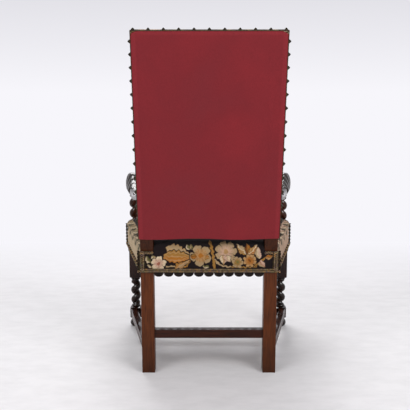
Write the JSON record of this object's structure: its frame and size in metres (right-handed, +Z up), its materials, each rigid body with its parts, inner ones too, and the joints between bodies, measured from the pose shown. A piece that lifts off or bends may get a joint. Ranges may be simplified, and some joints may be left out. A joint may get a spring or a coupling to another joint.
{
  "type": "high-back armchair",
  "caption": "High-back open armchair with twist-turned front posts, scrolled arms, nailed leaning back and stuffed seat.",
  "frame": {"origin": "on the floor under the middle of the chair's box", "axes": "+Z up, the sitter faces -Y, +X is the sitter's left"},
  "size_m": [0.689, 0.7005, 1.1938],
  "materials": {
    "dark_walnut": "dark polished walnut",
    "red_walnut": "waxed reddish walnut",
    "frame_wood": "plain sawn frame wood",
    "needlepoint": "wool floral needlepoint",
    "red_back_cloth": "plain woven cotton",
    "braid": "woven braid",
    "black_scallops": "black wool trim",
    "jute": "raw jute",
    "dark_nails": "dark patinated brass"
  },
  "bodies": {
    "root": {"front_post_left": "dark_walnut", "front_post_right": "dark_walnut", "arm_left": "dark_walnut", "arm_right": "dark_walnut", "side_stretcher_left": "dark_walnut", "side_stretcher_right": "dark_walnut", "cross_stretcher": "dark_walnut", "rear_stretcher": "dark_walnut", "back_post_left": "red_walnut", "back_post_right": "red_walnut", "side_rail_left": "frame_wood", "side_rail_right": "frame_wood", "rear_rail": "frame_wood", "front_rail": "frame_wood", "crest_rail": "frame_wood", "lower_back_rail": "frame_wood", "seat_pad": "needlepoint", "back_pad": "needlepoint", "seat_cover_rear": "needlepoint", "seat_cover_front": "needlepoint", "seat_cover_left": "needlepoint", "seat_cover_right": "needlepoint", "back_wrap_left": "needlepoint", "back_wrap_right": "needlepoint", "back_wrap_top": "needlepoint", "back_cloth": "red_back_cloth", "seat_galon_rear": "braid", "seat_galon_front": "braid", "seat_galon_left": "braid", "seat_galon_right": "braid", "back_galon_left": "braid", "back_galon_right": "braid", "back_galon_top": "braid", "seat_scallops_rear": "black_scallops", "seat_scallops_front": "black_scallops", "seat_scallops_left": "black_scallops", "seat_scallops_right": "black_scallops", "seat_webbing": "jute", "back_webbing": "jute", "seat_base_cloth": "jute", "back_base_cloth": "jute", "back_nails_left": "dark_nails", "back_nails_right": "dark_nails", "back_nails_top": "dark_nails"}
  },
  "joints": []
}
